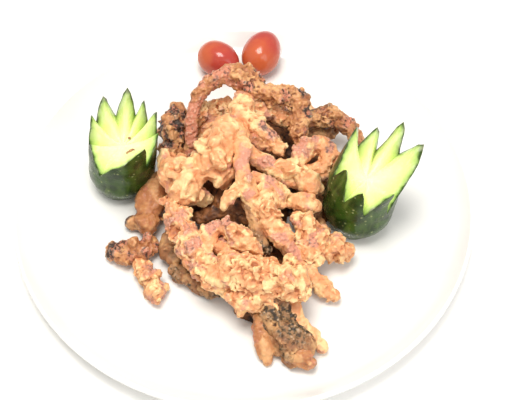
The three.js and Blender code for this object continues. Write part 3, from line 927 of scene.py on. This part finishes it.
PLATE_R, WELL_R, WELL_Z, PLATE_H = 145, 125, 7, 18
ROUND_STEPS = 120
shares = [i / 10 for i in range(11)]
rise = [(WELL_R + (PLATE_R - 2 - WELL_R) * s, WELL_Z + (PLATE_H - WELL_Z) * s * s) for s in shares]
under = [(r + 1.1, z - 4.5) for r, z in rise]
foot = [(0, 2.5), (40, 2.5), (76, 2.5), (77.5, 1.8), (78, 0.4), (78.6, 0), (83.4, 0), (84, 0.4),
        (85, 2.3), (87, 2.6), (110, 2.6)]
lip = [(144.7, 14.8), (PLATE_R, 16), (144.6, 17.4), (143.9, 17.9)]
well = [(118, WELL_Z), (60, WELL_Z), (0, WELL_Z)]
plate = turned("dinner_plate", foot + under[1:] + lip + rise[::-1] + well, ROUND_STEPS)
glaze, tree, shader = start_material("white_glaze", Specular_IOR_Level=0.5, Coat_Weight=0.3)
broad = rescale(tree, clouds(tree, 40 * MM), 0.3, 0.7)
tone = blend_colours(tree, broad, linear(232, 231, 227), linear(238, 237, 233))
tree.links.new(tone, shader.inputs["Base Color"])
gloss = rescale(tree, clouds(tree, 9 * MM), 0.3, 0.7, 0.12, 0.2)
tree.links.new(gloss, shader.inputs["Roughness"])
plate.data.materials.append(glaze)
bpy.ops.object.shade_smooth_by_angle(angle=math.radians(40))
print("plate faces:", len(plate.data.polygons))

# %% [markdown]
# ## The cucumber crowns
#
# A stub of cucumber is cut right round in a zigzag down to its heart and
# pulled apart, which leaves a crown of petals. The real thing is made by
# cutting, and so is this: the stub is spun, the knife's zigzag is a closed
# solid that rises from a star, and a Boolean takes it off. The petals are of
# uneven height, with a shoulder on the way down to each notch. The cut faces
# keep the knife's material, which is the wet flesh. Each point first remembers
# how far it was from the middle, because the flesh is pale in the heart and
# greener towards the rind, and only then do the petals bend and the stub lean.

# %% Cucumber sizes
# "edge" is the knife's zigzag: the angle and height of each of its corners
CUPS = {
    "cucumber_crown_left": {
        "foot": (-80, 19), "lean": (8, -1), "radius": 21, "heart": 39,
        "bend_from": 36, "bend": 0.02,
        "edge": ((-162, 46), (-128, 28), (-93, 44), (-53, 60), (-42, 38), (-3, 56), (16, 45),
                 (28, 63), (50, 42), (61, 63), (73, 45), (91, 70), (108, 43), (136, 68),
                 (150, 46), (174, 63), (188, 40))},
    "cucumber_crown_right": {
        "foot": (70, -11), "lean": (6, 3), "radius": 22, "heart": 41,
        "bend_from": 38, "bend": 0.22,
        "edge": ((-156, 59), (-130, 38), (-112, 52), (-92, 32), (-62, 52), (-49, 29), (9, 72),
                 (38, 50), (62, 73), (73, 44), (93, 64), (107, 46), (152, 76), (186, 44))},
}
SHOULDER_TURN = 0.35  # where a petal's side bulges, from its tip to the notch
SHOULDER_DROP = 0.2  # how much of the fall to the notch is behind it there
STUB_FOOT = 0.52  # the flat end's share of the full radius
STUB_ROUND = 16  # the height at which the stub is full
STUB_SUNK = 6  # what is cut off level again once the stub leans
HEART_FLAT = 0.7  # 0 would slope straight up from the heart, more is flatter there
KNIFE_REACH = 2  # how far the knife reaches, as a share of the radius
KNIFE_RISE = 150


# %% Cucumber finishes
def streaks(tree, along, stretch, scale):
    """Noise in long streaks, by the angle round the stub and one more value."""
    where = add(tree, "CombineXYZ", {"X": value_of(tree, "around"), "Y": along}).outputs[0]
    drawn = add(tree, "Mapping", {"Vector": where, "Scale": stretch}).outputs[0]
    return add(tree, "TexNoise", {"Vector": drawn, "Scale": scale, "Detail": 3}).outputs["Fac"]


def cucumber_rind():
    material, tree, shader = start_material(
        "cucumber_rind", Specular_IOR_Level=0.25, Coat_Weight=0.12, Coat_Roughness=0.12)
    height = value_of(tree, "height")
    patches = rescale(tree, clouds(tree, 9 * MM), 0.35, 0.65)
    green = blend_colours(tree, patches, linear(32, 52, 14), linear(54, 82, 24))
    stripes = rescale(tree, streaks(tree, height, (9, 1.2, 1), 2.2), 0.5, 0.75, 0, 0.6)
    green = blend_colours(tree, stripes, green, linear(106, 126, 56))
    # painted reflection: towards the foot the rind turns paler and greyer, for the gloss seen low
    # on it
    green = blend_colours(tree, rescale(tree, height, 0.25, 0, 0, 0.5), green, linear(92, 102, 66))
    fleck = rescale(tree, cells(tree, 4.5 * MM), 0.1, 0.2, 0.8, 0)
    green = blend_colours(tree, fleck, green, linear(150, 160, 104))
    gloss = rescale(tree, clouds(tree, 5 * MM), 0.3, 0.7, 0.2, 0.38)
    rough = combine(tree, "ADD", clouds(tree, 3 * MM, 3), fleck)
    dress(tree, shader, green, gloss, rough, 0.35, 0.5 * MM)
    return material


# how far from the heart, as a share of the radius, and the colour there
FLESH_STOPS = ((0.4, (236, 240, 184)), (0.66, (234, 241, 168)), (0.84, (214, 231, 146)),
               (0.925, (176, 202, 112)), (0.955, (122, 152, 80)), (0.97, (82, 108, 52)))


def cucumber_flesh():
    material, tree, shader = start_material(
        "cucumber_flesh", Specular_IOR_Level=0.3, Subsurface_Weight=0.3,
        Subsurface_Radius=(1.0, 1.0, 0.4), Subsurface_Scale=2 * MM)
    depth = value_of(tree, "from_heart")
    wobble = rescale(tree, clouds(tree, 5 * MM, 3), 0.3, 0.7, -0.02, 0.02)
    ramp = add(tree, "ValToRGB", {"Fac": combine(tree, "ADD", wobble, depth)})
    stops = ramp.color_ramp.elements
    stops[0].position, stops[0].color = 0.1, linear(226, 230, 182)
    stops[1].position, stops[1].color = 0.985, linear(54, 74, 36)
    for place, colour in FLESH_STOPS:
        stops.new(place).color = linear(*colour)
    grain = streaks(tree, depth, (12, 2, 1), 3)
    strands = rescale(tree, grain, 0.45, 0.75, 0, 0.35)
    pale = blend_colours(tree, strands, ramp.outputs["Color"], linear(246, 247, 214))
    gloss = rescale(tree, clouds(tree, 4 * MM), 0.3, 0.7, 0.14, 0.34)
    rough = combine(tree, "ADD", grain, clouds(tree, 1.5 * MM, 3))
    dress(tree, shader, pale, gloss, rough, 0.3, 0.4 * MM)
    return material


RIND = cucumber_rind()
FLESH = cucumber_flesh()


# %% Stub and knife
def stub_outline(radius, top):
    """Half the stub's section: flat blossom end, rounded up to the full girth."""
    steps = 12
    points = [(0, -STUB_SUNK), (radius * STUB_FOOT / 2, -STUB_SUNK)]
    for i in range(steps + 1):
        share = i / steps
        girth = STUB_FOOT + (1 - STUB_FOOT) * math.sin(share * math.pi / 2)
        points.append((radius * girth, share * (STUB_ROUND + STUB_SUNK) - STUB_SUNK))
    points += [(radius, height) for height in range(STUB_ROUND + 2, top, 2)]
    return points + [(radius, top), (0, top)]


def zigzag_knife(cup):
    """All that the knife takes off: a star from the heart past the skin, drawn up high."""
    corners = []
    edge, heart, reach = cup["edge"], cup["heart"], cup["radius"] * KNIFE_REACH
    closed = edge + ((edge[0][0] + 360, edge[0][1]),)
    for (angle, height), (next_angle, next_height) in zip(closed, closed[1:]):
        falls = height > next_height
        turn = SHOULDER_TURN if falls else 1 - SHOULDER_TURN
        drop = SHOULDER_DROP if falls else 1 - SHOULDER_DROP
        corners += [(angle, height), (angle + (next_angle - angle) * turn,
                                      height + (next_height - height) * drop)]
    bpy.ops.object.select_all(action="DESELECT")
    bpy.ops.mesh.primitive_circle_add(vertices=len(corners), radius=MM, fill_type="TRIFAN")
    knife = bpy.context.object
    knife.name = "knife"
    knife.data.materials.append(FLESH)
    goals = [(0, 0, heart)]
    for angle, height in corners:
        turn = math.radians(angle)
        goals.append((math.cos(turn) * reach, math.sin(turn) * reach,
                      heart + (height - heart) * KNIFE_REACH))
    for vertex, goal in zip(knife.data.vertices, goals):
        vertex.co = Vector(goal) * MM
    editing(True)
    bpy.ops.mesh.subdivide(number_cuts=19)
    editing(False)
    places = positions(knife)
    share = np.hypot(places[:, 0], places[:, 1]) / (cup["radius"] * MM)
    climb = (places[:, 2] - heart * MM) * np.minimum(1, share) ** HEART_FLAT
    places[:, 2] = climb + heart * MM
    knife.data.vertices.foreach_set("co", places.ravel())
    editing(True)
    bpy.ops.mesh.extrude_region_move(TRANSFORM_OT_translate={"value": (0, 0, KNIFE_RISE * MM)})
    bpy.ops.mesh.select_all(action="SELECT")
    bpy.ops.mesh.normals_make_consistent(inside=False)
    editing(False)
    return knife


# %% Cut, bend and lean
RIPPLE = texture("ripple", "CLOUDS", 13, cloud_type="COLOR", noise_depth=1)


def cucumber_crown(name, cup):
    top = max(height for _, height in cup["edge"]) + 4
    section = stub_outline(cup["radius"], top)
    crown = turned(name + "_cut", section, ROUND_STEPS)
    crown.data.materials.append(RIND)
    knife = zigzag_knife(cup)
    cut = crown.modifiers.new("cut", "BOOLEAN")
    cut.object = knife
    cut.operation = "DIFFERENCE"
    cut.solver = "EXACT"
    cut.material_mode = "TRANSFER"
    apply_modifiers(crown)
    bpy.data.objects.remove(knife)
    places = positions(crown) / MM
    radii, heights = zip(*section[1:-1])
    girth = np.interp(places[:, 2], heights, radii)
    store(crown, "from_heart", np.hypot(places[:, 0], places[:, 1]) / girth)
    store(crown, "around", np.arctan2(places[:, 1], places[:, 0]) / math.tau)
    store(crown, "height", places[:, 2] / top)
    push(crown, "ripple", RIPPLE, 1.6, middle=0.5, direction="RGB_TO_XYZ")
    apply_modifiers(crown)
    places = positions(crown)
    places[:, 0] += cup["bend"] * np.maximum(0, places[:, 2] - cup["bend_from"] * MM)
    crown.data.vertices.foreach_set("co", places.ravel())
    lay_down(crown, (-cup["lean"][1], cup["lean"][0], 0), (*cup["foot"], WELL_Z), 35)
    return crown


crowns = {name: cucumber_crown(name, cup) for name, cup in CUPS.items()}
for name, crown in crowns.items():
    print(name, "faces:", len(crown.data.polygons), [m.name for m in crown.data.materials])

# %% [markdown]
# ## The plum tomatoes
#
# Two small plum tomatoes lie behind the heap. A sphere is stretched, one end
# is drawn out a little and the other is dimpled where the stalk sat. The skin
# is red with an orange flush at one end, and glossy.

# %% Tomatoes
TOMATOES = {
    "tomato_left": {"at": (-18, 115), "turn": -32, "lift": 8, "radius": 12.5, "half": 15.5},
    "tomato_right": {"at": (12, 120), "turn": 70, "lift": 8, "radius": 13.5, "half": 17},
}


DIMPLE_RADIUS, DIMPLE_DEPTH, SCAR_RADIUS = 2.2, 1.6, 1.3


def tomato_skin():
    material, tree, shader = start_material(
        "tomato_skin", Specular_IOR_Level=0.3, Coat_Weight=0.3, Coat_Roughness=0.19,
        Subsurface_Weight=0.08, Subsurface_Radius=(1.0, 0.3, 0.1), Subsurface_Scale=2 * MM)
    wobble = rescale(tree, clouds(tree, 11 * MM), 0.3, 0.7, -0.15, 0.15)
    flush = rescale(tree, combine(tree, "ADD", value_of(tree, "along"), wobble), 0.15, 0.85)
    skin = blend_colours(tree, flush, linear(193, 92, 55), linear(178, 64, 54))
    freckles = rescale(tree, cells(tree, 1.6 * MM), 0.06, 0.16, 0.35, 0)
    skin = blend_colours(tree, freckles, skin, linear(224, 122, 72))
    skin = blend_colours(tree, value_of(tree, "stalk"), skin, linear(120, 96, 44))
    gloss = rescale(tree, clouds(tree, 4 * MM), 0.3, 0.7, 0.1, 0.2)
    dress(tree, shader, skin, gloss, clouds(tree, 2.5 * MM), 0.12, 0.3 * MM)
    return material


TOMATO = tomato_skin()


def tomato(name, at, turn, lift, radius, half):
    bpy.ops.object.select_all(action="DESELECT")
    bpy.ops.mesh.primitive_uv_sphere_add(
        segments=64, ring_count=40, radius=radius * MM, rotation=(0, math.pi / 2, 0))
    fruit = bpy.context.object
    fruit.name = name + "_fruit"
    bpy.ops.object.transform_apply(rotation=True)
    editing(True)
    bpy.ops.transform.resize(value=(half / radius, 1, 1))
    editing(False)
    places = positions(fruit) / MM
    share = places[:, 0] / half
    ring = np.hypot(places[:, 1], places[:, 2])
    places[:, 1:] *= (0.97 - 0.09 * share)[:, None]
    stalk_end = share < 0
    places[:, 0] += DIMPLE_DEPTH * np.where(stalk_end, np.exp(-(ring / DIMPLE_RADIUS) ** 2), 0)
    fruit.data.vertices.foreach_set("co", (places * MM).ravel())
    store(fruit, "along", (share + 1) / 2)
    store(fruit, "stalk", np.where(stalk_end, np.exp(-(ring / SCAR_RADIUS) ** 2), 0))
    push(fruit, "ripple", RIPPLE, 0.9, middle=0.5, direction="RGB_TO_XYZ")
    apply_modifiers(fruit)
    fruit.data.materials.append(TOMATO)
    lay_down(fruit, (0, -lift, turn), (*at, FOOD_Z + radius - 0.2), 50)
    return fruit


tomatoes = {name: tomato(name, **fruit) for name, fruit in TOMATOES.items()}
print("tomatoes:", {name: len(fruit.data.polygons) for name, fruit in tomatoes.items()})

# %% Floor finish
linen, tree, shader = start_material("pale_table", Roughness=0.7)
broad = rescale(tree, clouds(tree, 200 * MM), 0.3, 0.7)
cloth = blend_colours(tree, broad, linear(244, 243, 240), linear(248, 247, 245))
tree.links.new(cloth, shader.inputs["Base Color"])
floor.data.materials.append(linen)

# %% [markdown]
# ## Crumbs
#
# A few crumbs of batter have fallen on the left cucumber. Each is dropped
# straight down on the cut flesh, so that it lies on it wherever that is.

# %% Crumbs
# where each falls, x and y, and its radius, in mm
CRUMBS = ((-68, 10, 1.4), (-66.2, 11.5, 1.1), (-70.5, 9.3, 0.8), (-71, 23, 0.8))


def crumbs_on(ground):
    bpy.ops.object.select_all(action="DESELECT")
    bpy.ops.mesh.primitive_ico_sphere_add(subdivisions=1, radius=MM)
    crumbs = bpy.context.object
    crumbs.name = "crumbs"
    editing(True)
    bpy.ops.mesh.delete(type="VERT")
    for x, y, size in CRUMBS:
        _, place, *_ = ground.ray_cast(Vector((x, y, 100)) * MM, Vector((0, 0, -1)))
        bpy.ops.mesh.primitive_ico_sphere_add(
            subdivisions=4, radius=size * MM, location=place, scale=(1.3, 0.9, 0.9))
    editing(False)
    bpy.ops.object.transform_apply(location=True, rotation=True, scale=True)
    push(crumbs, "crumb", SEEDS, 0.9, middle=0.5)
    apply_modifiers(crumbs)
    store(crumbs, "cover", np.ones(len(crumbs.data.vertices)))
    crumbs.data.materials.append(DARK_AND_SHADED)
    bpy.ops.object.shade_smooth()
    return crumbs


crumbs = crumbs_on(crowns["cucumber_crown_left"])
print("crumbs:", len(CRUMBS), "pieces,", len(crumbs.data.polygons), "faces")

# %% [markdown]
# ## Standing for the imported nodes
#
# Nothing here moves, so every piece rides on the one body, and the imported
# node that it stands for is hidden.

# %% Ride, and hide the imported nodes
stands_for = [(plate, "plate", "glaze"), (arch, "tentacle_arch", "skin"),
              (bit_dark, "loose_bit_dark", "batter"), (bit_golden, "loose_bit_golden", "batter")]
stands_for += [(piece, "tentacle_heap", "batter") for piece in heap_pieces + [crumbs]]
stands_for += [(crown, name, "cucumber") for name, crown in crowns.items()]
stands_for += [(fruit, name, "tomato") for name, fruit in tomatoes.items()]
for piece, node, finish in stands_for:
    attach(piece, "root")
    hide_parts(node)
